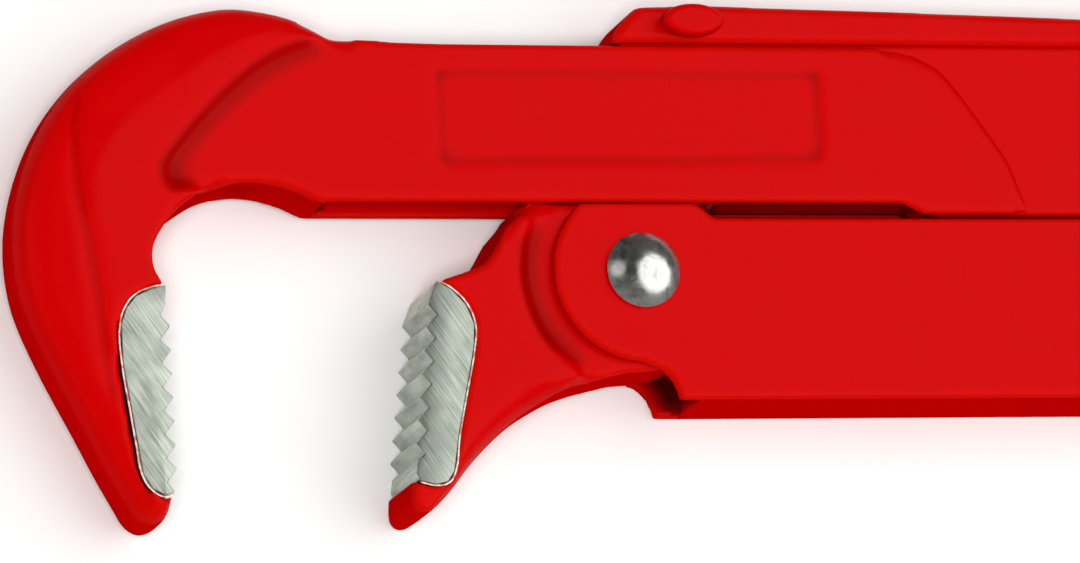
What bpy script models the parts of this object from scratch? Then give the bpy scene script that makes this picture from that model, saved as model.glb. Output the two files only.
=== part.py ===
"""Corner pipe wrench with a sliding hook jaw, lying flat on its side: a simple solid model of every piece.

The wrench plane is XY and its thickness runs along Z. The pivot axis is at x = 0, y = 0. The drawing
dimensions below are millimetres, and the meshes are metres. The lowest face lies on z = 0.
"""

import math

import bmesh
import bpy
from mathutils import Matrix, Vector

MM = 0.001

# Clearances
GAP = 0.3  # between pieces that touch
SLIDE_GAP = 0.3  # between sliding or turning faces

# Thicknesses, each half of the full one, about the middle plane
HALF_JAW = 9.5  # jaws and lower handle
HALF_ARM = 7.2  # arm of the hook jaw
HALF_HUB = HALF_ARM - 0.2  # tongue of the lower jaw around the pivot
HALF_WEB = 5.0  # web of the jaw lever, inside the arm
ARM_SLOT = HALF_WEB + SLIDE_GAP  # half width of the slot in the arm
FORK_SLOT = HALF_ARM + SLIDE_GAP  # half width of the slot in the lower handle
CHANNEL_WALL = 2.0
HALF_CHANNEL = HALF_WEB + GAP + CHANNEL_WALL

# Heights and lengths in the wrench plane
ARM_BOTTOM = 13.1
ARM_TOP = 42.2
HEEL_BOTTOM = 11.1
ARM_RIGHT = 75.6
SLOT_LEFT = -57.0
TAIL = 305.0  # right end of the handles
FLANGE_BOTTOM = ARM_TOP + 0.4
BOSS_RADIUS = 16.4
BOSS_TOP = ARM_BOTTOM - 0.6
HANDLE_TOP = HEEL_BOTTOM - 1.2
HANDLE_BOTTOM = -23.3
WEB_FOOT = HANDLE_TOP + 0.9  # lowest point of the web beside the hub
HUB_RADIUS = 17.6
HUB_RECESS = 21.6  # radius of the step between the jaw and the thinner hub
FORK_RADIUS = HUB_RADIUS + 2 * SLIDE_GAP

# Pivot
RIVET_RADIUS = 4.0
RIVET_HEAD = 6.75
RIVET_DOME = 2.9
BUSH_RADIUS = 6.0

# Adjusting screw
SCREW_Y = 26.0
SCREW_RADIUS = 3.5
SCREW_BORE = SCREW_RADIUS + GAP
OPEN_TRAVEL = 15.0  # the arm moves left by this much
CLOSE_TRAVEL = 30.0  # and right by this much
NUT_RADIUS = 9.0
NUT_LENGTH = 12.0
NUT_LEFT = ARM_RIGHT + CLOSE_TRAVEL + 6.4  # the nut stays clear of the arm when that is pulled right in
WASHER = 1.2
PIN_X = 30.0
PIN_RADIUS = 2.5
EYE_RADIUS = 4.4

# Rounded rims
EDGE_ARM = 2.0
EDGE_JAW = 1.6
EDGE_HANDLE = 1.2
# forged crown along an outer contour: distance inside the contour, and height above the middle plane
HOOK_CROWN = [(0.1, 3.0), (0.7, 5.6), (2.2, 7.4), (5.0, 8.5), (12.0, HALF_JAW + 0.05)]
JAW_CROWN = [(0.1, 3.5), (0.6, 6.0), (1.8, 7.9), (3.6, 9.0), (5.5, HALF_JAW + 0.05)]

# Teeth
TOOTH_PITCH = 4.2
TOOTH_DEPTH = 1.9

RED = ("red_paint", (0.62, 0.0, 0.0, 1.0), 0.0, 0.3)
GROUND = ("ground_steel", (0.55, 0.56, 0.54, 1.0), 1.0, 0.35)
POLISHED = ("polished_steel", (0.6, 0.6, 0.6, 1.0), 1.0, 0.15)
DARK = ("dark_steel", (0.12, 0.12, 0.13, 1.0), 1.0, 0.4)

HOOK_OUTER = [
    (-53.9, 43.0), (-60.5, 46.6), (-67.0, 48.4), (-73.6, 48.8), (-81.9, 47.0), (-89.7, 43.5),
    (-96.5, 38.9), (-102.6, 33.2), (-107.6, 25.9), (-111.2, 17.2), (-113.0, 8.5), (-112.9, 0.4),
    (-111.3, -6.9), (-107.3, -16.5), (-102.7, -25.8), (-98.2, -35.1), (-95.7, -39.7),
    (-93.9, -42.8), (-91.6, -44.4), (-89.3, -44.2), (-87.6, -42.6), (-86.9, -39.9),
]
HOOK_INNER = [
    (-86.9, -2.4), (-88.6, 0.5), (-88.8, 3.7), (-87.6, 6.7), (-85.0, 10.2), (-81.8, 12.9),
    (-78.3, 14.9), (-74.0, 16.2), (-70.4, 16.7), (-66.2, 16.2), (-61.8, 14.9), (-57.2, 12.6),
]
RING_EDGE = [
    (-78.3, 14.9), (-84.5, 15.2), (-86.0, 18.1), (-85.0, 20.6), (-80.8, 25.7), (-75.0, 31.7),
    (-68.4, 37.2), (-61.9, 40.7), (-53.9, 43.0),
]
ARM_END = [
    (ARM_RIGHT, HEEL_BOTTOM), (ARM_RIGHT - 0.4, 13.5), (ARM_RIGHT - 3.7, 22.3), (ARM_RIGHT - 12.2, 35.0),
    (ARM_RIGHT - 17.0, 40.0), (ARM_RIGHT - 23.1, ARM_TOP),
]
HOOK_PLATE_BACK = [
    (-86.8, -2.5), (-89.5, -3.0), (-92.3, -4.3), (-94.1, -6.4), (-95.2, -9.4), (-95.2, -16.5),
    (-94.2, -24.5), (-93.3, -31.6), (-92.6, -36.0), (-91.0, -38.7), (-88.7, -39.9), (-86.9, -39.2),
]
JAW_PLATE_BACK = [
    (-37.9, -1.7), (-35.3, -3.3), (-32.8, -6.0), (-31.5, -9.6), (-31.9, -13.9), (-33.1, -19.2),
    (-34.5, -24.9), (-35.7, -30.2), (-36.8, -36.0), (-38.0, -37.8), (-40.2, -38.3), (-43.0, -37.7),
]
JAW_UPPER = [(-22.0, 10.9), (-23.9, 9.0), (-25.7, 6.1), (-27.6, 3.2), (-29.9, 1.0), (-37.9, -1.7)]
JAW_LOWER = [
    (-44.4, -38.2), (-44.6, -41.4), (-43.0, -43.2), (-40.2, -42.2), (-36.4, -38.7), (-33.2, -34.9),
    (-30.1, -31.6), (-26.9, -28.7), (-23.8, -26.3), (-20.7, -24.3), (-17.7, -22.6), (-14.6, -21.1),
    (-11.6, -19.9),
]


def smooth(points, steps=3):
    """The points of an even curve through the given points."""
    ends = [points[0], *points, points[-1]]
    found = []
    for a, b, c, d in zip(ends, ends[1:], ends[2:], ends[3:]):
        for step in range(steps):
            t = step / steps
            found.append(tuple(
                q + 0.5 * ((r - p) * t + (2 * p - 5 * q + 4 * r - s) * t**2 + (3 * q - p - 3 * r + s) * t**3)
                for p, q, r, s in zip(a, b, c, d)
            ))
    return found + [points[-1]]


def arc(radius, start, end, centre=(0.0, 0.0), steps=16):
    """Points on an arc between two angles in degrees."""
    angles = [math.radians(start + (end - start) * n / steps) for n in range(steps + 1)]
    return [(centre[0] + radius * math.cos(a), centre[1] + radius * math.sin(a)) for a in angles]


def offset(points, distance):
    """The open line of points moved to its left by the distance, or by one distance per point."""
    distances = distance if isinstance(distance, list) else [distance] * len(points)
    found = []
    for n, point in enumerate(points):
        before, after = points[max(n - 1, 0)], points[min(n + 1, len(points) - 1)]
        along = Vector((after[0] - before[0], after[1] - before[1])).normalized()
        found.append((point[0] - along.y * distances[n], point[1] + along.x * distances[n]))
    return found


def saw(tip, heading, count, side, lean):
    """Tooth tips and roots from the first tip on, each root the lean's share of a pitch past its tip."""
    first, along = Vector(tip), Vector(heading).normalized()
    across = Vector((-along.y, along.x)) * TOOTH_DEPTH * side
    found = []
    for n in range(count):
        found.append(tuple(first + along * TOOTH_PITCH * n))
        found.append(tuple(first + along * TOOTH_PITCH * (n + lean) + across))
    return found


def material_of(look):
    name, colour, metallic, roughness = look
    found = bpy.data.materials.get(name)
    if found is None:
        found = bpy.data.materials.new(name)
        found.use_nodes = True
        shader = found.node_tree.nodes["Principled BSDF"]
        shader.inputs["Base Color"].default_value = colour
        shader.inputs["Metallic"].default_value = metallic
        shader.inputs["Roughness"].default_value = roughness
    return found


def new_object(name, bm, look=None, smooth_sides=False):
    bmesh.ops.remove_doubles(bm, verts=bm.verts, dist=1e-3)
    bmesh.ops.recalc_face_normals(bm, faces=bm.faces)
    bmesh.ops.scale(bm, vec=(MM, MM, MM), verts=bm.verts)
    mesh = bpy.data.meshes.new(name)
    bm.to_mesh(mesh)
    bm.free()
    if smooth_sides:
        mesh.shade_smooth()
        mesh.set_sharp_from_angle(angle=math.radians(40))
    made = bpy.data.objects.new(name, mesh)
    if look is None:
        cutters.objects.link(made)
        made.hide_render = True
        made.display_type = "WIRE"
    else:
        wrench.objects.link(made)
        mesh.materials.append(material_of(look))
    return made


def plate(name, outline, low, high, bevel=0.0, look=None, segments=2, place=None):
    """An outline stretched from z = low to z = high above the middle plane, its rims rounded."""
    bm = bmesh.new()
    verts = [bm.verts.new((x, y, low + HALF_JAW)) for x, y in outline]
    face = bm.faces.new(verts)
    made = bmesh.ops.extrude_face_region(bm, geom=[face])
    lifted = [item for item in made["geom"] if isinstance(item, bmesh.types.BMVert)]
    bmesh.ops.translate(bm, vec=(0, 0, high - low), verts=lifted)
    if bevel:
        rims = [e for e in bm.edges if abs(e.verts[0].co.z - e.verts[1].co.z) < 1e-6]
        bmesh.ops.bevel(
            bm, geom=rims, offset=bevel, offset_type="OFFSET", segments=segments, profile=0.5,
            affect="EDGES", clamp_overlap=True,
        )
    if place is not None:
        bmesh.ops.transform(bm, matrix=place, verts=bm.verts)
    return new_object(name, bm, look)


def crown(name, line, taper, close, profile):
    """A closed loft whose outer side follows the line and rises inwards as the profile says."""
    bm = bmesh.new()
    levels = [(inset, -rise) for inset, rise in profile[::-1]] + list(profile)
    loops = []
    for inset, z in levels:
        moved = offset(line, [inset * share for share in taper])
        loops.append([bm.verts.new((x, y, z + HALF_JAW)) for x, y in moved + close])
    for below, above in zip(loops, loops[1:]):
        for n in range(len(below)):
            m = (n + 1) % len(below)
            bm.faces.new((below[n], below[m], above[m], above[n]))
    bm.faces.new(loops[0][::-1])
    bm.faces.new(loops[-1])
    return new_object(name, bm)


def turn_to(start, end):
    """The matrix that stands the Z axis up at the start and points it at the end."""
    start, end = Vector(start), Vector(end)
    turn = Vector((0, 0, 1)).rotation_difference(end - start).to_matrix().to_4x4()
    return Matrix.Translation(start) @ turn, (end - start).length


def rod(name, radius, start, end, look=None, sides=32):
    """A round bar between two points."""
    place, length = turn_to(start, end)
    bm = bmesh.new()
    bmesh.ops.create_cone(
        bm, cap_ends=True, segments=sides, radius1=radius, radius2=radius, depth=length,
        matrix=place @ Matrix.Translation((0, 0, length / 2)),
    )
    return new_object(name, bm, look, smooth_sides=True)


def turned(name, rings, start, end, look=None, sides=32):
    """A profile of (distance, radius) points spun about the line from the start towards the end."""
    place, length = turn_to(start, end)
    line = [(rings[0][0], 0.0), *rings, (rings[-1][0], 0.0)]
    bm = bmesh.new()
    verts = [bm.verts.new((radius, 0.0, along)) for along, radius in line]
    edges = [bm.edges.new(pair) for pair in zip(verts, verts[1:])]
    bmesh.ops.spin(
        bm, geom=verts + edges, cent=(0, 0, 0), axis=(0, 0, 1), angle=2 * math.pi, steps=sides, use_merge=True,
    )
    bmesh.ops.transform(bm, matrix=place, verts=bm.verts)
    return new_object(name, bm, look, smooth_sides=True)


def apply(piece, cutter, operation):
    modifier = piece.modifiers.new(operation.title(), "BOOLEAN")
    modifier.operation = operation
    modifier.solver = "EXACT"
    modifier.object = cutter


def cut(piece, *tools):
    for tool in tools:
        apply(piece, tool, "DIFFERENCE")


def join(piece, *tools):
    for tool in tools:
        apply(piece, tool, "UNION")


def hinge(name, location, *pieces):
    """Parents the pieces to an empty on their joint axis, keeping them in place."""
    empty = bpy.data.objects.new(name, None)
    empty.location = Vector(location) * MM
    wrench.objects.link(empty)
    for piece in pieces:
        piece.parent = empty
        piece.matrix_parent_inverse = Matrix.Translation(Vector(location) * MM).inverted()


def pocket(name, back, mouth):
    """The space for a toothed plate: its back line moved out by the gap, open towards the mouth."""
    line = offset(back, -GAP)
    return plate(name, line + [(mouth, line[-1][1]), (mouth, line[0][1])], -12, 12)


for old in list(bpy.data.objects):
    bpy.data.objects.remove(old, do_unlink=True)
wrench = bpy.data.collections.new("corner_pipe_wrench")
cutters = bpy.data.collections.new("cutters")
bpy.context.scene.collection.children.link(wrench)
bpy.context.scene.collection.children.link(cutters)
cutters.hide_render = True
Z0 = HALF_JAW  # height of the middle plane

# Hook jaw: a thick ring and a thinner slotted arm
hook_outer, hook_inner = smooth(HOOK_OUTER), smooth(HOOK_INNER)
# the arm reaches a little way into the ring so that the two join
arm_outline = (
    [(-57.2, ARM_BOTTOM), (ARM_RIGHT - 24.8, ARM_BOTTOM), (ARM_RIGHT - 21.1, HEEL_BOTTOM)] + smooth(ARM_END)
    + [(-34.0, ARM_TOP + 0.1), (-53.9, ARM_TOP + 0.8), (-70.0, 42.0), (-90.0, 26.0), (-92.0, 12.0)]
    + smooth(HOOK_INNER[3:])[:-1]
)
hook_jaw = plate("hook_jaw", arm_outline, -HALF_ARM, HALF_ARM, EDGE_ARM, RED, 3)
ring_outline = hook_outer + smooth(HOOK_INNER[:7]) + smooth(RING_EDGE)[1:-1]
ring = plate("ring", ring_outline, -HALF_JAW, HALF_JAW, EDGE_JAW, segments=3)
taper = [min(1.0, 0.15 + 0.06 * n, 0.2 + 0.05 * (len(hook_outer) - 1 - n)) for n in range(len(hook_outer))]
ring_crown = crown("ring_crown", hook_outer, taper, [(-60.0, -46.0), (-40.0, 30.0), (-40.0, 43.0)], HOOK_CROWN)
apply(ring, ring_crown, "INTERSECT")
join(hook_jaw, ring)
slot = plate("arm_slot", [
    (SLOT_LEFT, 5.0), (ARM_RIGHT + 14, 5.0), (ARM_RIGHT + 14, 50.0), (SLOT_LEFT + 18.0, 50.0),
    (SLOT_LEFT + 2.0, 24.0),
], -ARM_SLOT, ARM_SLOT)
cut(hook_jaw, slot, pocket("hook_pocket", HOOK_PLATE_BACK, -70.0))
# the pin goes in from the back, and the front of the arm covers it
pin_hole = rod("pin_hole", PIN_RADIUS + GAP, (PIN_X, SCREW_Y, -5), (PIN_X, SCREW_Y, Z0 + HALF_ARM - 0.9))
cut(hook_jaw, pin_hole)
nameplate = plate("nameplate", [
    (-34.4, 19.3), (34.8, 20.1), (36.3, 20.9), (36.7, 22.0), (37.3, 36.3), (36.8, 37.6), (35.4, 38.2),
    (-34.0, 38.1), (-35.4, 37.5), (-36.0, 36.2), (-36.0, 20.9), (-35.5, 19.7),
], HALF_ARM - 0.4, HALF_ARM + 3)
cut(hook_jaw, nameplate)

teeth = saw((-86.4, -9.8), (0, -1), 7, -1, 0.58)
hook_tooth_plate = plate(
    "hook_tooth_plate", HOOK_PLATE_BACK[:-1] + [(-87.0, -39.1)] + teeth[::-1] + [(-88.1, -7.9), (-87.1, -5.7)],
    -HALF_JAW + 0.2, HALF_JAW - 0.2, 0, GROUND,
)

# Jaw lever: lower jaw, hub and web in one piece
web_outline = [
    (-21.0, 9.0), *arc(HUB_RADIUS - 2.2, 36, 36, steps=1)[:1],
    (math.sqrt(HUB_RADIUS**2 - WEB_FOOT**2), WEB_FOOT),
    (16.0, ARM_BOTTOM + 0.5), (ARM_RIGHT - 21.6, ARM_BOTTOM + 0.5), (ARM_RIGHT - 19.6, HEEL_BOTTOM + 0.2),
    (NUT_LEFT - 12, HEEL_BOTTOM + 0.2), (NUT_LEFT + 16, 13.5), (TAIL - 105, 14.5), (TAIL - 105, 42.0),
    (NUT_LEFT - 12, 45.0), (88.0, 45.6),
    (15.0, 47.2), (3.6, 47.0), (1.8, 45.6), (0.3, 43.0), (-4.0, 42.0), (-14.0, 28.0),
]
jaw_lever = plate("jaw_lever", web_outline, -HALF_WEB, HALF_WEB, 0, RED)
hub = plate(
    "hub", [(-24.0, 8.0), (-21.2, BOSS_TOP)]
    + arc(HUB_RADIUS, math.degrees(math.asin(BOSS_TOP / HUB_RADIUS)), -88, steps=24)
    + [(-3.5, -17.9), (-8.5, -19.1), (-11.6, -19.9), (-18.0, -22.0), (-24.0, -20.0)],
    -HALF_HUB, HALF_HUB, 0.8,
)
lower = smooth(JAW_LOWER)
jaw_outline = smooth(JAW_UPPER) + [(-44.0, -5.0)] + lower + arc(HUB_RECESS, 236, 151, steps=14)
jaw = plate("jaw", jaw_outline, -HALF_JAW, HALF_JAW, 1.3)
rim = lower[9:-1]
taper = [min(1.0, 0.15 + 0.07 * n, 0.15 + 0.1 * (len(rim) - 1 - n)) for n in range(len(rim))]
jaw_back = [(-8.0, -18.0), (-8.0, 14.0), (-55.0, 14.0), (-55.0, -47.0), (-42.5, -47.0)]
apply(jaw, crown("jaw_crown", rim, taper, jaw_back, JAW_CROWN), "INTERSECT")
join(jaw_lever, hub, jaw)
jaw_pocket = plate(
    "jaw_pocket", [(-60.0, 2.0), (-37.6, -1.2)] + offset(JAW_PLATE_BACK, GAP)[1:-1]
    + [(-43.1, -38.1), (-46.0, -36.0), (-60.0, -34.0)], -12, 12,
)
pin_slot = plate(
    "pin_slot", arc(EYE_RADIUS + 0.4, 90, 270, (PIN_X - OPEN_TRAVEL - 1, SCREW_Y), 10)
    + arc(EYE_RADIUS + 0.4, -90, 90, (PIN_X + CLOSE_TRAVEL + 1, SCREW_Y), 10), -8, 8,
)
nut_window = plate(
    "nut_window", [
        (NUT_LEFT - WASHER - 2 * GAP, SCREW_Y - NUT_RADIUS - 1.5),
        (NUT_LEFT + NUT_LENGTH + WASHER + 2 * GAP, SCREW_Y - NUT_RADIUS - 1.5),
        (NUT_LEFT + NUT_LENGTH + WASHER + 2 * GAP, SCREW_Y + NUT_RADIUS + 1.5),
        (NUT_LEFT - WASHER - 2 * GAP, SCREW_Y + NUT_RADIUS + 1.5),
    ], -12, 12,
)
screw_end = NUT_LEFT + NUT_LENGTH + OPEN_TRAVEL + 4
bore = rod("screw_bore", SCREW_BORE, (PIN_X, SCREW_Y, Z0), (screw_end + CLOSE_TRAVEL + 3, SCREW_Y, Z0))
bush_hole = rod("bush_hole", BUSH_RADIUS + GAP, (0, 0, -5), (0, 0, 30))
cut(jaw_lever, jaw_pocket, pin_slot, nut_window, bore, bush_hole)

jaw_teeth = saw((-39.8, -6.0), (-0.147, -0.989), 7, 1, 0.4)
jaw_tooth_plate = plate(
    "jaw_tooth_plate", JAW_PLATE_BACK[::-1] + jaw_teeth + [(-43.2, -33.8), (-43.7, -36.2)],
    -HALF_JAW + 0.2, HALF_JAW - 0.2, 0, GROUND,
)

# Upper handle: a channel folded over the web
upper_outline = [
    (-2.5, FLANGE_BOTTOM), (NUT_LEFT - 8, FLANGE_BOTTOM), (NUT_LEFT + 12, 40.5), (NUT_LEFT + 19, 34.0),
    (NUT_LEFT + 20, 12.8), (NUT_LEFT + 26, 12.2), (TAIL - 100, 14.0), (TAIL - 20, 15.0),
] + arc(13.0, -80, 88, (TAIL - 15, 27.6), 12) + [
    (TAIL - 100, 44.6), (130.0, 47.0), (88.1, 48.2), (53.3, 49.1), (15.2, 49.9), (3.2, 49.5), (0.4, 47.1),
    (-1.3, 44.8),
]
upper_handle = plate("upper_handle", upper_outline, -HALF_CHANNEL, HALF_CHANNEL, 1.2, RED)
channel_cut = plate("channel_cut", [
    (-8.0, 30.0), (-8.0, 42.1), (0.0, 43.3), (1.5, 45.8), (3.4, 47.5), (15.2, 47.5), (88.1, 45.9),
    (NUT_LEFT - 12, 45.3), (TAIL - 104.7, 42.3), (TAIL - 27, 38.0), (TAIL - 21, 34.0), (TAIL - 19, 5.0),
    (100.0, 5.0), (100.0, 30.0),
], -HALF_WEB - GAP, HALF_WEB + GAP)
cut(upper_handle, channel_cut)

# Lower handle: a forging with a fork around the hub
lower_outline = (
    [(-10.8, BOSS_TOP), (math.sqrt(FORK_RADIUS**2 - BOSS_TOP**2) - 2.2, BOSS_TOP),
     (math.sqrt(FORK_RADIUS**2 - HANDLE_TOP**2) - 1.2, HANDLE_TOP), (120.0, HANDLE_TOP), (160.0, 8.6),
     (TAIL - 100, 4.0), (TAIL - 20, 1.5)][::-1]
    + arc(BOSS_RADIUS, 132, 266, steps=24)
    + [(0.1, -16.9), (3.0, -18.1), (4.6, -20.0), (5.3, -22.0), (5.6, HANDLE_BOTTOM), (120.0, HANDLE_BOTTOM),
       (160.0, -22.6), (TAIL - 100, -20.6), (TAIL - 20, -19.0)]
    + arc(10.0, -88, 88, (TAIL - 11, -8.8), 12)
)
lower_handle = plate("lower_handle", lower_outline, -HALF_JAW, HALF_JAW, EDGE_HANDLE, RED)
fork_cut = plate(
    "fork_cut", [(-30.0, -30.0), (9.5, -30.0), (10.5, -18.0)] + arc(FORK_RADIUS, -45, 60, steps=20)
    + [(9.0, 20.0), (-30.0, 20.0)], -FORK_SLOT, FORK_SLOT,
)
cut(lower_handle, fork_cut, rod("rivet_hole", RIVET_RADIUS + GAP, (0, 0, -5), (0, 0, 30)))

# Pivot
height = 2 * HALF_JAW
dome = [(height + GAP + 0.2 + RIVET_DOME * math.sin(a), 0.6 + (RIVET_HEAD - 0.6) * math.cos(a))
        for a in [math.radians(15 * n) for n in range(6)]]
pivot_rivet = turned(
    "pivot_rivet", [(0.0, RIVET_RADIUS), (height + GAP, RIVET_RADIUS), (height + GAP, RIVET_HEAD)] + dome,
    (0, 0, 0), (0, 0, height), POLISHED, 40,
)
pivot_bush = rod("pivot_bush", BUSH_RADIUS, (0, 0, Z0 - HALF_HUB), (0, 0, Z0 + HALF_HUB), DARK)
cut(pivot_bush, rod("bush_bore", RIVET_RADIUS + GAP, (0, 0, -5), (0, 0, 30)))

# Adjusting screw, its pin and its nut
screw = turned(
    "adjusting_screw",
    [(0.0, SCREW_RADIUS), (screw_end - PIN_X - 1.0, SCREW_RADIUS), (screw_end - PIN_X, SCREW_RADIUS - 0.8)],
    (PIN_X, SCREW_Y, Z0), (screw_end, SCREW_Y, Z0), DARK,
)
eye = rod("eye", EYE_RADIUS, (PIN_X, SCREW_Y, Z0 - HALF_WEB + 0.4), (PIN_X, SCREW_Y, Z0 + HALF_WEB - 0.4))
join(screw, eye)
cut(screw, pin_hole)
screw_pin = rod(
    "screw_pin", PIN_RADIUS, (PIN_X, SCREW_Y, Z0 - HALF_ARM + 0.4), (PIN_X, SCREW_Y, Z0 + HALF_ARM - 1.2), DARK
)
nut_outline = []
for n in range(72):
    size = NUT_RADIUS - (0.5 if n % 2 else 0.0)
    nut_outline.append((size * math.cos(math.radians(5 * n)), size * math.sin(math.radians(5 * n))))
place, _ = turn_to((NUT_LEFT, SCREW_Y, Z0), (NUT_LEFT + 1, SCREW_Y, Z0))
adjusting_nut = plate("adjusting_nut", nut_outline, -Z0, NUT_LENGTH - Z0, 0.8, DARK, place=place)
nut_bore = rod(
    "nut_bore", SCREW_BORE, (NUT_LEFT - 5, SCREW_Y, Z0), (NUT_LEFT + NUT_LENGTH + 5, SCREW_Y, Z0), sides=32
)
cut(adjusting_nut, nut_bore)
washers = []
for n, left in enumerate((NUT_LEFT - GAP - WASHER, NUT_LEFT + NUT_LENGTH + GAP)):
    washer = rod(
        f"thrust_washer_{n + 1}", 7.0, (left, SCREW_Y, Z0), (left + WASHER, SCREW_Y, Z0), GROUND, 32
    )
    cut(washer, nut_bore)
    washers.append(washer)

# Rivets that hold the channel to the web
for n, (x, y) in enumerate(((NUT_LEFT + 30, 39.0), (NUT_LEFT + 30, 18.0), (NUT_LEFT + 76, 34.0))):
    hole = rod(f"handle_hole_{n + 1}", 2.5 + GAP, (x, y, -5), (x, y, 30))
    cut(upper_handle, hole)
    cut(jaw_lever, hole)
    low, high = Z0 - HALF_CHANNEL - GAP, Z0 + HALF_CHANNEL + GAP
    rings = [(0.0, 2.6), (0.6, 4.0), (1.2, 4.2), (1.2, 2.5)]
    rings += [(high - low + 2.4 - along, radius) for along, radius in rings[::-1]]
    turned(f"handle_rivet_{n + 1}", rings, (x, y, low - 1.2), (x, y, high + 1.2), RED, 24)
guide_x, guide_y = 12.4, 46.1
guide_hole = rod("guide_hole", 1.6 + GAP, (guide_x, guide_y, -5), (guide_x, guide_y, 30))
cut(upper_handle, guide_hole)
cut(jaw_lever, guide_hole)
guide_ends = (guide_x, guide_y, Z0 - HALF_CHANNEL), (guide_x, guide_y, Z0 + HALF_CHANNEL + 1.0)
guide_rivet = rod("guide_rivet", 1.6, *guide_ends, RED, 24)
turns = [math.pi * n / 12 for n in range(24)]
oval = [(guide_x + 5.7 * math.cos(a), guide_y + 3.0 * math.sin(a)) for a in turns]
join(guide_rivet, plate("oval_head", oval, HALF_CHANNEL + GAP, HALF_CHANNEL + 4.2, 1.0))

hinge("lower_handle_axis", (0, 0, 0), lower_handle)
hinge("nut_axis", (NUT_LEFT, SCREW_Y, Z0), adjusting_nut)
hinge("arm_slide", (PIN_X, SCREW_Y, Z0), hook_jaw, hook_tooth_plate, screw, screw_pin)
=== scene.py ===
"""The look of a corner pipe wrench: enamelled forgings, ground tooth plates and a polished pivot rivet.

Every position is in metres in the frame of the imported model. The wrench lies on its side: its plane is XY,
its pivot axis stands at x = 0, y = 0, and z = 0 is the floor. Sizes whose names end in _mm are millimetres.
"""

import logging
import math
from dataclasses import dataclass
from enum import Enum

import bmesh
import bpy
import numpy as np
from mathutils import Matrix, Vector


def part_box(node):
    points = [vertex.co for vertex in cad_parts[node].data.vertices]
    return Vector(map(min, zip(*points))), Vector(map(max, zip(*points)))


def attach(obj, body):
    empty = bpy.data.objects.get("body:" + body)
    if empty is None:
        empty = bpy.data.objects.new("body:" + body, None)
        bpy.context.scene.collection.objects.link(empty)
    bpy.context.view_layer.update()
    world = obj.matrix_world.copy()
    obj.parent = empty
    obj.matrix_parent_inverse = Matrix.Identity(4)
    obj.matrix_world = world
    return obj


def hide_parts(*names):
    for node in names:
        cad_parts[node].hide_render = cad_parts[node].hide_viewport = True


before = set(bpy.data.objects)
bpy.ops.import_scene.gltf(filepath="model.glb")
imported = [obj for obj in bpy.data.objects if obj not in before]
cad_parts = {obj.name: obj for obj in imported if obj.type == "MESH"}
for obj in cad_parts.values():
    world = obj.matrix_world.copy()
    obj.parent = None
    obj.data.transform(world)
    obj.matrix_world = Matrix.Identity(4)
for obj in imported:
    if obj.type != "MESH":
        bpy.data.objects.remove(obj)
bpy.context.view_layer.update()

logging.basicConfig(level=logging.INFO, format="%(message)s")
log = logging.getLogger("wrench")

MM = 0.001
MID = 0.0095  # height of the wrench's middle plane

Settings = dict[str, object]
Links = dict[str, bpy.types.NodeSocket]
Line = list[tuple[float, float]]  # points in the wrench plane, in millimetres

FACE_MM = 5.4  # a point further than this from the middle plane lies on a face, not on a side wall
HOLE_GAP_MM = 0.3  # clearance of a bore round its bar


class Body(Enum):
    """The moving bodies of the wrench."""

    LEVER = "jaw_lever_body"
    HOOK = "hook_body"
    NUT = "nut_body"
    HANDLE = "lower_handle_body"


class Slot(Enum):
    """Names for the finishes that a user may swap; no piece is given one in this script."""

    PAINT = "red_paint"
    GROUND = "ground_steel"
    POLISHED = "polished_steel"
    DARK = "dark_steel"


# ---------------------------------------------------------------------------------------------- helpers


def linear(code: str) -> tuple[float, float, float, float]:
    """Turns an sRGB hex colour to the linear colour that shaders take.

    Args:
        code: six hex digits.

    Returns:
        Linear red, green and blue, and an alpha of 1.
    """
    parts = [int(code[n:n + 2], 16) / 255 for n in (0, 2, 4)]
    red, green, blue = (p / 12.92 if p <= 0.04045 else ((p + 0.055) / 1.055) ** 2.4 for p in parts)
    return red, green, blue, 1.0


def per_mm(size_mm: float) -> float:
    """The texture scale, in Object coordinates, at which one cell of a pattern is size_mm wide."""
    return 1000.0 / size_mm


def add(
    tree: bpy.types.NodeTree, kind: str, settings: Settings, links: Links | None = None,
) -> bpy.types.Node:
    """Adds a node with its settings and links.

    Args:
        tree: the node tree that gets the node.
        kind: the node's type name.
        settings: values by name, of the node's own properties or of its inputs.
        links: the sockets that feed its inputs, by input name.

    Returns:
        The new node.
    """
    node = tree.nodes.new(kind)
    for name, value in settings.items():
        if hasattr(node, name):
            setattr(node, name, value)
        else:
            node.inputs[name].default_value = value
    for name, socket in (links or {}).items():
        tree.links.new(socket, node.inputs[name])
    return node


def shaded(name: str, settings: Settings) -> tuple[bpy.types.Material, bpy.types.NodeTree, bpy.types.Node]:
    """Makes a material with one Principled shader.

    Args:
        name: the material's name.
        settings: constants for the shader's own sockets.

    Returns:
        The material, its node tree and its shader.
    """
    material = bpy.data.materials.new(name)
    material.use_nodes = True
    tree = material.node_tree
    shader = tree.nodes["Principled BSDF"]
    for socket, value in settings.items():
        shader.inputs[socket].default_value = value
    return material, tree, shader


def copy_of(node: str, name: str) -> bpy.types.Object:
    """Copies a solid's mesh into a new object, its loose triangles merged.

    Args:
        node: the solid's name.
        name: the new object's name.

    Returns:
        The new object, at the origin.
    """
    bm = bmesh.new()
    bm.from_mesh(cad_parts[node].data)
    bmesh.ops.remove_doubles(bm, verts=bm.verts, dist=2e-6)
    return finish_mesh(bm, name)


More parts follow.
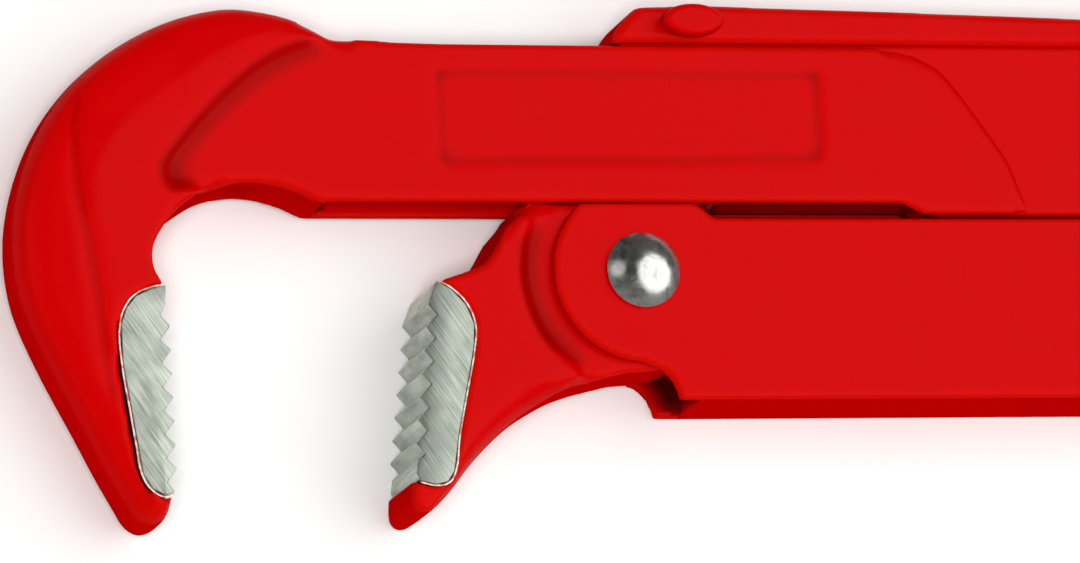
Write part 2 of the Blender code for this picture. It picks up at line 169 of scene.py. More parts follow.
def finish_mesh(bm: bmesh.types.BMesh, name: str) -> bpy.types.Object:
    """Turns a bmesh to a smooth-shaded object at the origin and frees it.

    Args:
        bm: the mesh, in metres.
        name: the object's name.

    Returns:
        The new object.
    """
    mesh = bpy.data.meshes.new(name)
    bm.to_mesh(mesh)
    bm.free()
    mesh.shade_smooth()
    made = bpy.data.objects.new(name, mesh)
    bpy.context.scene.collection.objects.link(made)
    return made


def remesh(piece: bpy.types.Object, voxel_mm: float) -> None:
    """Rebuilds the piece's surface as an even skin of small quads.

    Args:
        piece: the object to change.
        voxel_mm: the side of a quad.
    """
    modifier = piece.modifiers.new("Skin", "REMESH")
    modifier.mode = "VOXEL"
    modifier.voxel_size = voxel_mm * MM
    bpy.context.view_layer.update()
    skin = bpy.data.meshes.new_from_object(piece.evaluated_get(bpy.context.evaluated_depsgraph_get()))
    piece.modifiers.remove(modifier)
    old, piece.data = piece.data, skin
    bpy.data.meshes.remove(old)
    skin.name = piece.name
    skin.shade_smooth()


def relax(piece: bpy.types.Object, passes: int, close: set[int] | None = None) -> None:
    """Rounds the piece's surface, as hammering and paint do.

    Args:
        piece: the object to change.
        passes: how many times each point moves half way to its neighbours.
        close: the indices of the points that move; all of them without it.
    """
    bm = bmesh.new()
    bm.from_mesh(piece.data)
    chosen = [v for v in bm.verts if close is None or v.index in close]
    for _ in range(passes):
        bmesh.ops.smooth_vert(bm, verts=chosen, factor=0.5, use_axis_x=True, use_axis_y=True, use_axis_z=True)
    bm.to_mesh(piece.data)
    bm.free()
    piece.data.shade_smooth()


def curved(line: Line, steps: int = 6) -> np.ndarray:
    """Draws an even curve through a few points.

    Args:
        line: the points, in millimetres.
        steps: how many short spans each stretch becomes.

    Returns:
        The curve's points as rows.
    """
    knots = np.array([line[0], *line, line[-1]])
    rows = []
    for a, b, c, d in zip(knots, knots[1:], knots[2:], knots[3:]):
        for t in np.arange(steps) / steps:
            bend, twist = 2 * a - 5 * b + 4 * c - d, 3 * b - a - 3 * c + d
            rows.append(b + 0.5 * ((c - a) * t + bend * t**2 + twist * t**3))
    return np.array([*rows, knots[-1]])


def distances(points: np.ndarray, line: Line) -> tuple[np.ndarray, np.ndarray]:
    """Measures how far points lie from a curve in the wrench plane.

    Args:
        points: positions as rows, in millimetres.
        line: the curve's points, in millimetres.

    Returns:
        Each point's distance from the curve, and how far its nearest place is from the curve's nearer end.
    """
    rows = curved(line)
    flat = points[:, :2]
    gap, place, done = np.full(len(flat), 1e9), np.zeros(len(flat)), 0.0
    for start, end in zip(rows, rows[1:]):
        along = end - start
        length = max(float(np.hypot(*along)), 1e-6)
        share = np.clip((flat - start) @ along / length**2, 0.0, 1.0)
        away = np.hypot(*(flat - start - share[:, None] * along).T)
        closer = away < gap
        gap[closer], place[closer] = away[closer], (done + share * length)[closer]
        done += length
    return gap, np.minimum(place, done - place)


def points_of(mesh: bpy.types.Mesh) -> np.ndarray:
    """The mesh's points as rows, in metres."""
    rows = np.empty(len(mesh.vertices) * 3, np.float32)
    mesh.vertices.foreach_get("co", rows)
    return rows.reshape(-1, 3).astype(float)


def relax_along(piece: bpy.types.Object, line: Line, reach_mm: float, passes: int) -> None:
    """Softens the edges and steps of both faces that lie close to a line.

    Args:
        piece: the object to change.
        line: the line's points in the wrench plane, in millimetres.
        reach_mm: how far from the line it acts.
        passes: how soft it becomes.
    """
    rows = points_of(piece.data)
    gap, _ = distances(rows * 1000, line)
    on_face = np.abs(rows[:, 2] - MID) > FACE_MM * MM
    relax(piece, passes, set(np.nonzero((gap < reach_mm) & on_face)[0].tolist()))


def mark_relief(piece: bpy.types.Object, passes: int, full_mm: float) -> None:
    """Stores how proud or sunk each point is as the attribute "relief", 0.5 on a flat face; the enamel paints
    sunk points darker as shade and proud points lighter as a highlight.

    Args:
        piece: the object to mark.
        passes: how wide the neighbourhood is that a point is compared with.
        full_mm: the height difference that counts as fully proud or sunk.
    """
    mesh = piece.data
    count, points = len(mesh.vertices), points_of(mesh)
    normals = np.empty(count * 3, np.float32)
    mesh.vertices.foreach_get("normal", normals)
    edges = np.empty(len(mesh.edges) * 2, np.int32)
    mesh.edges.foreach_get("vertices", edges)
    one, other = edges.reshape(-1, 2).T
    links = np.maximum(np.bincount(np.concatenate([one, other]), minlength=count), 1)[:, None]
    soft = points.copy()
    for _ in range(passes):
        total = np.stack([
            np.bincount(one, weights=soft[other, axis], minlength=count)
            + np.bincount(other, weights=soft[one, axis], minlength=count)
            for axis in range(3)
        ], axis=1)
        soft = total / links
    proud = ((points - soft) * normals.reshape(-1, 3)).sum(axis=1) / (full_mm * MM)
    relief = mesh.attributes.new("relief", "FLOAT", "POINT")
    relief.data.foreach_set("value", np.clip(0.5 + 0.5 * proud, 0.2, 1.0).astype(np.float32))


def paint_shade_along(
    piece: bpy.types.Object, line: Line, reach_mm: float, depth: float,
    low_mm: float = 5.0, high_mm: float = 20.0, back_only: bool = False,
) -> None:
    """Paints shade along a line: lowers the attribute "relief" there, which the enamel paints darker, fading
    out at its two ends.

    Args:
        piece: an object that holds the attribute "relief".
        line: the line's points in the wrench plane, in millimetres.
        reach_mm: half the width of the darker band.
        depth: how far below 0.5 the attribute is in the middle of the band.
        low_mm: the least distance from the middle plane at which it acts.
        high_mm: the greatest.
        back_only: whether it leaves everything above the middle plane alone.
    """
    rows = points_of(piece.data)
    gap, place = distances(rows * 1000, line)
    band = np.cos(0.5 * math.pi * np.minimum(gap / reach_mm, 1.0)) ** 2 * np.clip(place / 6.0, 0.15, 1.0)
    lift = (rows[:, 2] - MID) * 1000
    band[(np.abs(lift) < low_mm) | (np.abs(lift) > high_mm) | (back_only & (lift > 0))] = 0.0
    relief = piece.data.attributes["relief"]
    values = np.empty(len(rows), np.float32)
    relief.data.foreach_get("value", values)
    lowered = values * (1.0 - band) + (0.5 - depth) * band
    relief.data.foreach_set("value", lowered.astype(np.float32))


def turned(profile: Line, place: Matrix, name: str, steps: int = 64) -> bpy.types.Object:
    """Spins a closed or axis-to-axis profile into a round piece.

    Args:
        profile: points as (radius, height), in millimetres.
        place: the matrix that puts the axis, drawn along Z in millimetres, where it goes, in millimetres.
        name: the object's name.
        steps: faces round the piece.

    Returns:
        The new object.
    """
    bm = bmesh.new()
    verts = [bm.verts.new((radius, 0.0, height)) for radius, height in profile]
    edges = [bm.edges.new(pair) for pair in zip(verts, verts[1:])]
    if profile[0][0] > 0.0:
        edges.append(bm.edges.new((verts[-1], verts[0])))
    bmesh.ops.spin(
        bm, geom=verts + edges, cent=(0, 0, 0), axis=(0, 0, 1), angle=2 * math.pi, steps=steps,
        use_merge=True,
    )
    bmesh.ops.remove_doubles(bm, verts=bm.verts, dist=1e-4)
    bmesh.ops.recalc_face_normals(bm, faces=bm.faces)
    bmesh.ops.transform(bm, matrix=Matrix.Scale(MM, 4) @ place, verts=bm.verts)
    made = finish_mesh(bm, name)
    made.data.set_sharp_from_angle(angle=math.radians(35))
    return made


def hand_over(
    piece: bpy.types.Object, body: Body, look: bpy.types.Material, nodes: tuple[str, ...],
) -> None:
    """Dresses a finished piece and ties it to the frame.

    Args:
        piece: the finished object.
        body: the body that it moves with.
        look: its material.
        nodes: the solids that it stands for.
    """
    piece.data.materials.clear()
    piece.data.materials.append(look)
    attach(piece, body.value)
    if nodes:
        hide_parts(*nodes)
    faces = sum(len(face.vertices) - 2 for face in piece.data.polygons)
    log.info("%s: %d triangles on %s", piece.name, faces, body.value)


def keep(node: str, look: bpy.types.Material) -> None:
    """Gives a solid that stays as it is a finished material."""
    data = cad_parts[node].data
    data.materials.clear()
    data.materials.append(look)
    log.info("%s: kept", node)


# --------------------------------------------------------------------------------------------- finishes


@dataclass(frozen=True)
class BakedEnamel:
    """Signal-red stoving enamel sprayed over drop-forged steel.

    To the eye it is a deep, even red with soft highlights, a fine orange peel, and the slow waviness of the
    forging under it. Its colour also carries painted light: proud edges get a painted highlight, a touch
    lighter, creases and steps get painted shade, darker, and narrow gaps get painted shadow, near black. The
    spray met the side walls at a slant and dried before it could flow, so they are almost matt.
    """

    colour: str = "C40002"
    # proud is a painted highlight, sunk is painted shade, and the darkest colour is painted shadow for narrow
    # gaps
    proud: str = "C60602"
    sunk: str = "760200"
    gap_shadow: str = "1C0603"
    peel_mm: float = 1.6
    forging_mm: float = 9.0

    def material(self) -> bpy.types.Material:
        """Builds the enamel.

        Returns:
            The material, which reads the attribute "relief".
        """
        look, tree, shader = shaded("red_baked_enamel_on_forged_steel", {"Metallic": 0.0, "IOR": 1.5})
        place = add(tree, "ShaderNodeTexCoord", {})
        where = place.outputs["Object"]
        facing = add(tree, "ShaderNodeSeparateXYZ", {}, {"Vector": place.outputs["Normal"]})
        level = add(tree, "ShaderNodeMath", {"operation": "ABSOLUTE"}, {0: facing.outputs["Z"]})
        flow = add(tree, "ShaderNodeMapRange", {
            "From Min": 0.2, "From Max": 0.9, "To Min": 0.0, "To Max": 0.045,
        }, {"Value": level.outputs["Value"]})
        peel = add(tree, "ShaderNodeTexNoise", {"Scale": per_mm(self.peel_mm), "Detail": 2.0}, {
            "Vector": where,
        })
        forging = add(tree, "ShaderNodeTexNoise", {
            "Scale": per_mm(self.forging_mm), "Detail": 3.0, "Roughness": 0.45,
        }, {"Vector": where})
        relief = add(tree, "ShaderNodeAttribute", {"attribute_name": "relief"})
        depth = add(tree, "ShaderNodeValToRGB", {}, {"Fac": relief.outputs["Fac"]})
        ramp = depth.color_ramp
        # the ramp paints light from the attribute relief: painted shadow at 0, painted shade at 0.16, plain
        # red on flats, a painted highlight at 0.95
        ramp.elements[0].position, ramp.elements[0].color = 0.0, linear(self.gap_shadow)
        ramp.elements[1].position, ramp.elements[1].color = 0.46, linear(self.colour)
        ramp.elements.new(0.16).color = linear(self.sunk)
        ramp.elements.new(0.6).color = linear(self.colour)
        ramp.elements.new(0.95).color = linear(self.proud)
        patchy = add(tree, "ShaderNodeMapRange", {
            "From Min": 0.3, "From Max": 0.7, "To Min": 0.98, "To Max": 1.02,
        }, {"Value": forging.outputs["Fac"]})
        colour = add(tree, "ShaderNodeHueSaturation", {}, {
            "Value": patchy.outputs["Result"], "Color": depth.outputs["Color"],
        })
        gloss = add(tree, "ShaderNodeMapRange", {
            "From Min": 0.3, "From Max": 0.7, "To Min": 0.24, "To Max": 0.34,
        }, {"Value": forging.outputs["Fac"]})
        waves = add(tree, "ShaderNodeBump", {"Strength": 0.2, "Distance": 0.1 * MM}, {
            "Height": forging.outputs["Fac"],
        })
        skin = add(tree, "ShaderNodeBump", {"Strength": 0.3, "Distance": 0.02 * MM}, {
            "Height": peel.outputs["Fac"], "Normal": waves.outputs["Normal"],
        })
        tree.links.new(colour.outputs["Color"], shader.inputs["Base Color"])
        tree.links.new(gloss.outputs["Result"], shader.inputs["Roughness"])
        tree.links.new(flow.outputs["Result"], shader.inputs["Specular IOR Level"])
        tree.links.new(skin.outputs["Normal"], shader.inputs["Normal"])
        return look


@dataclass(frozen=True)
class GroundToolSteel:
    """Hardened tool steel, surface-ground after it was set in the jaw.

    To the eye it is pale and satiny, with straight grinding lines that run aslant and catch the light
    unevenly. The real grit leaves lines 0.05 mm apart, too fine to show, so they are drawn 0.34 mm apart.
    """

    name: str = "surface_ground_tool_steel"
    dark: str = "8E968A"
    light: str = "C3C9BE"
    line_mm: float = 0.34
    run_mm: float = 9.0
    lean_degrees: float = -33.0

    def material(self) -> bpy.types.Material:
        """Builds the ground steel.

        Returns:
            The material.
        """
        look, tree, shader = shaded(self.name, {"Metallic": 1.0})
        where = add(tree, "ShaderNodeTexCoord", {}).outputs["Object"]
        turn = add(tree, "ShaderNodeMapping", {"Rotation": (0, 0, math.radians(self.lean_degrees))}, {
            "Vector": where,
        })
        squeeze = add(tree, "ShaderNodeMapping", {
            "Scale": (per_mm(self.line_mm), per_mm(self.run_mm), per_mm(self.run_mm)),
        }, {"Vector": turn.outputs["Vector"]})
        lines = add(tree, "ShaderNodeTexNoise", {"Scale": 1.0, "Detail": 4.0, "Roughness": 0.6}, {
            "Vector": squeeze.outputs["Vector"],
        })
        clouds = add(tree, "ShaderNodeTexNoise", {"Scale": per_mm(5.0), "Detail": 2.0}, {"Vector": where})
        tone = add(tree, "ShaderNodeValToRGB", {}, {"Fac": lines.outputs["Fac"]})
        tone.color_ramp.elements[0].position, tone.color_ramp.elements[0].color = 0.3, linear(self.dark)
        tone.color_ramp.elements[1].position, tone.color_ramp.elements[1].color = 0.68, linear(self.light)
        satin = add(tree, "ShaderNodeMapRange", {
            "From Min": 0.3, "From Max": 0.7, "To Min": 0.34, "To Max": 0.52,
        }, {"Value": clouds.outputs["Fac"]})
        grooves = add(tree, "ShaderNodeBump", {"Strength": 0.5, "Distance": 0.03 * MM}, {
            "Height": lines.outputs["Fac"],
        })
        tree.links.new(tone.outputs["Color"], shader.inputs["Base Color"])
        tree.links.new(satin.outputs["Result"], shader.inputs["Roughness"])
        tree.links.new(grooves.outputs["Normal"], shader.inputs["Normal"])
        return look


@dataclass(frozen=True)
class PolishedSteel:
    """Bright-drawn steel, its head formed in a polished die.

    To the eye it is a mirror with a slight haze, a few faint rings from the die and small handling scratches.
    The rings are really finer than 0.1 mm, and are drawn 0.5 mm apart to show.
    """

    name: str = "polished_steel_rivet"
    tone: str = "CFD0CC"
    shade: str = "8F918C"
    ring_mm: float = 0.5

    def material(self) -> bpy.types.Material:
        """Builds the polished steel, whose rings are centred on the pivot axis.

        Returns:
            The material.
        """
        look, tree, shader = shaded(self.name, {"Metallic": 1.0})
        where = add(tree, "ShaderNodeTexCoord", {}).outputs["Object"]
        rings = add(tree, "ShaderNodeTexWave", {
            "wave_type": "RINGS", "rings_direction": "Z", "Scale": per_mm(self.ring_mm) / 20.0,
            "Distortion": 0.6, "Detail": 1.0, "Detail Scale": 40.0,
        }, {"Vector": where})
        smears = add(tree, "ShaderNodeTexNoise", {"Scale": per_mm(2.2), "Detail": 5.0, "Roughness": 0.62}, {
            "Vector": where,
        })
        tone = add(tree, "ShaderNodeValToRGB", {}, {"Fac": smears.outputs["Fac"]})
        tone.color_ramp.elements[0].position, tone.color_ramp.elements[0].color = 0.28, linear(self.shade)
        tone.color_ramp.elements[1].position, tone.color_ramp.elements[1].color = 0.5, linear(self.tone)
        haze = add(tree, "ShaderNodeMapRange", {
            "From Min": 0.35, "From Max": 0.7, "To Min": 0.16, "To Max": 0.3,
        }, {"Value": smears.outputs["Fac"]})
        marks = add(tree, "ShaderNodeBump", {"Strength": 0.12, "Distance": 0.02 * MM}, {
            "Height": rings.outputs["Fac"],
        })
        dents = add(tree, "ShaderNodeBump", {"Strength": 0.25, "Distance": 0.05 * MM}, {
            "Height": smears.outputs["Fac"], "Normal": marks.outputs["Normal"],
        })
        tree.links.new(tone.outputs["Color"], shader.inputs["Base Color"])
        tree.links.new(haze.outputs["Result"], shader.inputs["Roughness"])
        tree.links.new(dents.outputs["Normal"], shader.inputs["Normal"])
        return look


@dataclass(frozen=True)
class OiledBlackSteel:
    """Machined steel, chemically blackened and oiled.

    To the eye it is near-black with a dull sheen, browner and glossier where the oil film lies thick.
    """

    name: str = "oiled_black_oxide_steel"
    bare: str = "4A4A4C"
    film: str = "1E1C1A"
    patch_mm: float = 2.5
    grain_mm: float = 0.4

    def material(self) -> bpy.types.Material:
        """Builds the blackened steel.

        Returns:
            The material.
        """
        look, tree, shader = shaded(self.name, {"Metallic": 1.0})
        where = add(tree, "ShaderNodeTexCoord", {}).outputs["Object"]
        patches = add(tree, "ShaderNodeTexNoise", {"Scale": per_mm(self.patch_mm), "Detail": 4.0}, {
            "Vector": where,
        })
        grain = add(tree, "ShaderNodeTexNoise", {"Scale": per_mm(self.grain_mm), "Detail": 1.0}, {
            "Vector": where,
        })
        tone = add(tree, "ShaderNodeMix", {"data_type": "RGBA"}, {})
        tree.links.new(patches.outputs["Fac"], tone.inputs[0])
        tone.inputs[6].default_value, tone.inputs[7].default_value = linear(self.bare), linear(self.film)
        sheen = add(tree, "ShaderNodeMapRange", {
            "From Min": 0.3, "From Max": 0.7, "To Min": 0.5, "To Max": 0.3,
        }, {"Value": patches.outputs["Fac"]})
        pits = add(tree, "ShaderNodeBump", {"Strength": 0.3, "Distance": 0.02 * MM}, {
            "Height": grain.outputs["Fac"],
        })
        tree.links.new(tone.outputs[2], shader.inputs["Base Color"])
        tree.links.new(sheen.outputs["Result"], shader.inputs["Roughness"])
        tree.links.new(pits.outputs["Normal"], shader.inputs["Normal"])
        return look


@dataclass(frozen=True)
class BrokenPrimer:
    """The pale edge of primer and bright metal that a grinding wheel leaves where it cuts through the paint.

    To the eye it is a thin, uneven, pinkish-white line.
    """

    name: str = "feathered_primer_edge"
    pale: str = "F1E4DA"
    pink: str = "D8806F"
    fleck_mm: float = 1.2

    def material(self) -> bpy.types.Material:
        """Builds the primer edge.

        Returns:
            The material.
        """
        look, tree, shader = shaded(self.name, {"Roughness": 0.55, "Specular IOR Level": 0.3})
        where = add(tree, "ShaderNodeTexCoord", {}).outputs["Object"]
        flecks = add(tree, "ShaderNodeTexNoise", {"Scale": per_mm(self.fleck_mm), "Detail": 3.0}, {
            "Vector": where,
        })
        tone = add(tree, "ShaderNodeValToRGB", {}, {"Fac": flecks.outputs["Fac"]})
        tone.color_ramp.elements[0].position, tone.color_ramp.elements[0].color = 0.38, linear(self.pink)
        tone.color_ramp.elements[1].position, tone.color_ramp.elements[1].color = 0.55, linear(self.pale)
        rough = add(tree, "ShaderNodeBump", {"Strength": 0.4, "Distance": 0.03 * MM}, {
            "Height": flecks.outputs["Fac"],
        })
        tree.links.new(tone.outputs["Color"], shader.inputs["Base Color"])
        tree.links.new(rough.outputs["Normal"], shader.inputs["Normal"])
        return look


@dataclass(frozen=True)
class PaperSweep:
    """A matt white paper sweep, which gives the eye an even, almost shadowless ground."""

    tone: str = "F7F7F6"
    shade: str = "F1F1EF"

    def material(self) -> bpy.types.Material:
        """Builds the paper.

        Returns:
            The material.
        """
        look, tree, shader = shaded("white_paper", {"Specular IOR Level": 0.2, "Roughness": 0.9})
        where = add(tree, "ShaderNodeTexCoord", {}).outputs["Object"]
        fibres = add(tree, "ShaderNodeTexNoise", {"Scale": per_mm(40.0), "Detail": 2.0}, {"Vector": where})
        tone = add(tree, "ShaderNodeMix", {"data_type": "RGBA"}, {})
        tree.links.new(fibres.outputs["Fac"], tone.inputs[0])
        tone.inputs[6].default_value, tone.inputs[7].default_value = linear(self.tone), linear(self.shade)
        tree.links.new(tone.outputs[2], shader.inputs["Base Color"])
        return look


@dataclass(frozen=True)
class Finishes:
    """The five finishes that the wrench shares among its pieces."""

    enamel: bpy.types.Material
    ground: bpy.types.Material
    polished: bpy.types.Material
    black: bpy.types.Material
    primer: bpy.types.Material

    @classmethod
    def mixed(cls) -> "Finishes":
        """Builds each finish once."""
        return cls(
            BakedEnamel().material(), GroundToolSteel().material(), PolishedSteel().material(),
            OiledBlackSteel().material(), BrokenPrimer().material(),
        )


# ---------------------------------------------------------------------------------------- sub-assemblies


def forging(node: str, name: str, voxel_mm: float, passes: int) -> bpy.types.Object:
    """Skins a solid with small quads and rounds it a little all over.

    Args:
        node: the solid that the forging is made from.
        name: the new piece's name.
        voxel_mm: the side of a quad.
        passes: how much it is rounded.

    Returns:
        The new piece.
    """
    piece = copy_of(node, name)
    remesh(piece, voxel_mm)
    relax(piece, passes)
    return piece


def tooth_plate(node: str, name: str, chamfer_mm: float) -> bpy.types.Object:
    """Chamfers every sharp edge of a toothed plate.

    Args:
        node: the solid that the plate is made from.
        name: the new piece's name.
        chamfer_mm: the width of the chamfer.

    Returns:
        The new piece.
    """
    bm = bmesh.new()
    bm.from_mesh(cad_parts[node].data)
    bmesh.ops.remove_doubles(bm, verts=bm.verts, dist=2e-6)
    bmesh.ops.dissolve_limit(bm, angle_limit=math.radians(2), verts=bm.verts, edges=bm.edges)
    sharp = [e for e in bm.edges if e.calc_face_angle(0.0) > math.radians(30)]
    bmesh.ops.bevel(
        bm, geom=sharp, offset=chamfer_mm * MM, offset_type="OFFSET", segments=2, profile=0.5, affect="EDGES",
        clamp_overlap=True, material=-1,
    )
    piece = finish_mesh(bm, name)
    piece.data.set_sharp_from_angle(angle=math.radians(28))
    return piece


def paint_edge(line: Line, name: str) -> bpy.types.Object:
    """Lays the thin edge of primer that shows where grinding cut through the paint, on both faces of a jaw.

    Args:
        line: the edge's points in the wrench plane, in millimetres.
        name: the new piece's name.

    Returns:
        The new piece.
    """
    curve = bpy.data.curves.new(name, "CURVE")
    curve.dimensions, curve.bevel_depth, curve.bevel_resolution = "3D", 0.17 * MM, 1
    for height in (MID + 9.3 * MM, MID - 9.3 * MM):
        spline = curve.splines.new("BEZIER")
        spline.bezier_points.add(len(line) - 1)
        for knot, (x, y) in zip(spline.bezier_points, line):
            knot.co = (x * MM, y * MM, height)
            knot.handle_left_type = knot.handle_right_type = "AUTO"
    curve.resolution_u, curve.use_fill_caps = 4, True
    drawn = bpy.data.objects.new(name, curve)
    bpy.context.scene.collection.objects.link(drawn)
    bpy.context.view_layer.update()
    mesh = bpy.data.meshes.new_from_object(drawn.evaluated_get(bpy.context.evaluated_depsgraph_get()))
    bpy.data.objects.remove(drawn)
    bm = bmesh.new()
    bm.from_mesh(mesh)
    bpy.data.meshes.remove(mesh)
    bmesh.ops.remove_doubles(bm, verts=bm.verts, dist=1e-6)
    return finish_mesh(bm, name)


def press_groove(piece: bpy.types.Object, line: Line, depth_mm: float, reach_mm: float) -> None:
    """Presses a shallow valley into both faces along a line, fading out at its two ends.

    Args:
        piece: the object to change.
        line: the valley's points in the wrench plane, in millimetres.
        depth_mm: how deep it is.
        reach_mm: half its width.
    """
    rows = points_of(piece.data)
    gap, place = distances(rows * 1000, line)
    fade = np.clip(place / 9.0, 0.0, 1.0)
    sink = depth_mm * fade**2 * (3 - 2 * fade) * np.cos(0.5 * math.pi * np.minimum(gap / reach_mm, 1.0)) ** 2
    lift = rows[:, 2] - MID
    sink[np.abs(lift) < 5.0 * MM] = 0.0
    rows[:, 2] -= np.sign(lift) * sink * MM
    piece.data.vertices.foreach_set("co", rows.astype(np.float32).ravel())
    piece.data.update()


@dataclass
class HookJaw:
    """The hook jaw: a crowned ring, a thinner slotted arm, and a toothed plate set in the ring."""

    finishes: Finishes
    voxel_mm: float = 0.7
    edge_reach_mm: float = 4.2
    groove_mm: float = 0.4
    groove_reach_mm: float = 2.2
    chamfer_mm: float = 0.22

    def step(self) -> Line:
        """The line where the ring steps down to the arm, in millimetres."""
        return [(-78.3, 14.9), (-84.5, 15.2), (-86.0, 18.1), (-85.0, 20.6), (-80.8, 25.7), (-75.0, 31.7),
                (-68.4, 37.2), (-61.9, 40.7), (-53.9, 43.0)]

    def rim(self) -> Line:
        """The shallow valley between the flat of the ring and its crowned rim, in millimetres."""
        return [(-98.2, 36.6), (-100.6, 30.5), (-101.6, 24.0), (-101.3, 14.0), (-99.9, 3.0), (-98.6, -8.4),
                (-97.2, -20.0), (-96.8, -27.0)]

    def heel(self) -> Line:
        """The soft, slanting right-hand end of the arm, in millimetres."""
        return [(75.2, 13.5), (71.9, 22.3), (63.4, 35.0), (58.6, 40.0), (52.5, 42.0)]

    def socket(self) -> Line:
        """The edge of the paint round the toothed plate, in millimetres."""
        return [(-87.0, -2.4), (-89.5, -2.85), (-92.4, -4.15), (-94.25, -6.3), (-95.35, -9.4),
                (-95.35, -16.5), (-94.35, -24.5), (-93.45, -31.6), (-92.75, -36.1), (-91.1, -38.85),
                (-88.7, -40.05), (-87.3, -39.5)]

    def build(self) -> None:
        """Builds and dresses the forging and its plate."""
        piece = forging("hook_jaw", "hook_jaw_forging", self.voxel_mm, 3)
        relax_along(piece, self.step(), self.edge_reach_mm, 26)
        relax_along(piece, self.heel(), 4.0, 26)
        press_groove(piece, self.rim(), self.groove_mm, self.groove_reach_mm)
        relax_along(piece, self.rim(), self.groove_reach_mm + 1.0, 8)
        mark_relief(piece, 6, 0.25)
        # painted shade along the ring's step, the rim's valley and the arm's slanting heel
        paint_shade_along(piece, self.step(), 3.4, 0.2)
        paint_shade_along(piece, self.rim(), 2.0, 0.12)
        paint_shade_along(piece, self.heel(), 4.2, 0.14)
        hand_over(piece, Body.HOOK, self.finishes.enamel, ("hook_jaw",))
        plate = tooth_plate("hook_tooth_plate", "hook_tooth_plate_ground", self.chamfer_mm)
        hand_over(plate, Body.HOOK, self.finishes.ground, ("hook_tooth_plate",))
        edge = paint_edge(self.socket(), "hook_socket_primer_edge")
        hand_over(edge, Body.HOOK, self.finishes.primer, ())


@dataclass
class JawLever:
    """The lower jaw with its hub and web in one forging, and the jaw's toothed plate."""

    finishes: Finishes
    voxel_mm: float = 0.65
    hub_mm: float = 21.6
    reach_mm: float = 4.0
    chamfer_mm: float = 0.22

    def socket(self) -> Line:
        """The edge of the paint round the toothed plate, in millimetres."""
        return [(-37.4, -1.8), (-35.2, -3.15), (-32.65, -5.9), (-31.35, -9.6), (-31.75, -13.95),
                (-32.95, -19.25), (-34.35, -24.95), (-35.55, -30.25), (-36.6, -36.05), (-37.85, -37.95),
                (-40.2, -38.45), (-43.0, -37.85)]

    def step(self) -> Line:
        """The soft step between the jaw and the thinner hub, in millimetres."""
        turns = [math.radians(150 + 7 * n) for n in range(13)]
        return [(self.hub_mm * math.cos(turn), self.hub_mm * math.sin(turn)) for turn in turns]

    def build(self) -> None:
        """Builds and dresses the forging and its plate."""
        piece = forging("jaw_lever", "jaw_lever_forging", self.voxel_mm, 3)
        relax_along(piece, self.step(), self.reach_mm, 26)
        mark_relief(piece, 6, 0.25)
        # painted shade along the soft step between the jaw and the hub
        paint_shade_along(piece, self.step(), 3.6, 0.23)
        # painted shadow on the web, in the narrow gap over the lower handle
        gap = [(8.0, 11.8), (20.0, 11.6), (40.0, 11.6), (62.0, 11.6)]
        paint_shade_along(piece, gap, 5.0, 0.48, low_mm=3.0, high_mm=5.6)
        hand_over(piece, Body.LEVER, self.finishes.enamel, ("jaw_lever",))
        plate = tooth_plate("jaw_tooth_plate", "jaw_tooth_plate_ground", self.chamfer_mm)
        hand_over(plate, Body.LEVER, self.finishes.ground, ("jaw_tooth_plate",))
        edge = paint_edge(self.socket(), "jaw_socket_primer_edge")
        hand_over(edge, Body.LEVER, self.finishes.primer, ())


@dataclass
class UpperHandle:
    """The folded channel over the web, its three rivets and the oval guide rivet."""

    finishes: Finishes
    voxel_mm: float = 0.7
    head_voxel_mm: float = 0.3
    rivet_head_mm: float = 4.2
    rivet_rise_mm: float = 1.2

    def rivet(self, number: int) -> bpy.types.Object:
        """Turns a rivet with a domed head at each end.

        Args:
            number: which of the three it is.

        Returns:
            The rivet.
        """
        node = f"handle_rivet_{number}"
        low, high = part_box(node)
        length, centre = (high.z - low.z) * 1000, (low + high) * 500
        arcs = [math.radians(90 * n / 6) for n in range(7)]
        dome = [(self.rivet_head_mm * math.sin(a), self.rivet_rise_mm * (1 - math.cos(a))) for a in arcs]
        shank = [(2.5, self.rivet_rise_mm), (2.5, length - self.rivet_rise_mm)]
        profile = dome + shank + [(radius, length - height) for radius, height in dome[::-1]]
        return turned(profile, Matrix.Translation((centre.x, centre.y, low.z * 1000)), f"{node}_painted", 40)

    def build(self) -> None:
        """Builds and dresses the channel and its rivets."""
        channel = forging("upper_handle", "upper_handle_channel", self.voxel_mm, 3)
        mark_relief(channel, 6, 0.25)
        hand_over(channel, Body.LEVER, self.finishes.enamel, ("upper_handle",))
        for number in (1, 2, 3):
            rivet = self.rivet(number)
            mark_relief(rivet, 2, 0.6)
            hand_over(rivet, Body.LEVER, self.finishes.enamel, (f"handle_rivet_{number}",))
        guide = copy_of("guide_rivet", "guide_rivet_painted")
        remesh(guide, self.head_voxel_mm)
        relax(guide, 6)
        mark_relief(guide, 6, 0.25)
        hand_over(guide, Body.LEVER, self.finishes.enamel, ("guide_rivet",))


@dataclass
class LowerHandle:
    """The lower handle, forged with a fork that straddles the hub."""

    finishes: Finishes
    voxel_mm: float = 0.72

    def build(self) -> None:
        """Builds and dresses the forging."""
        piece = forging("lower_handle", "lower_handle_forging", self.voxel_mm, 2)
        mark_relief(piece, 6, 0.25)
        # painted shade on the back cheek of the fork, and painted shadow in its root
        cheek = [(-12.0, -18.0), (0.0, -19.0), (9.0, -20.0), (16.0, -20.0)]
        paint_shade_along(piece, cheek, 7.0, 0.2, low_mm=6.0, high_mm=8.6, back_only=True)
        paint_shade_along(piece, [(2.0, -12.0), (8.5, -18.5), (8.5, -26.0)], 4.5, 0.47, low_mm=0.0, high_mm=7.6)
        hand_over(piece, Body.HANDLE, self.finishes.enamel, ("lower_handle",))


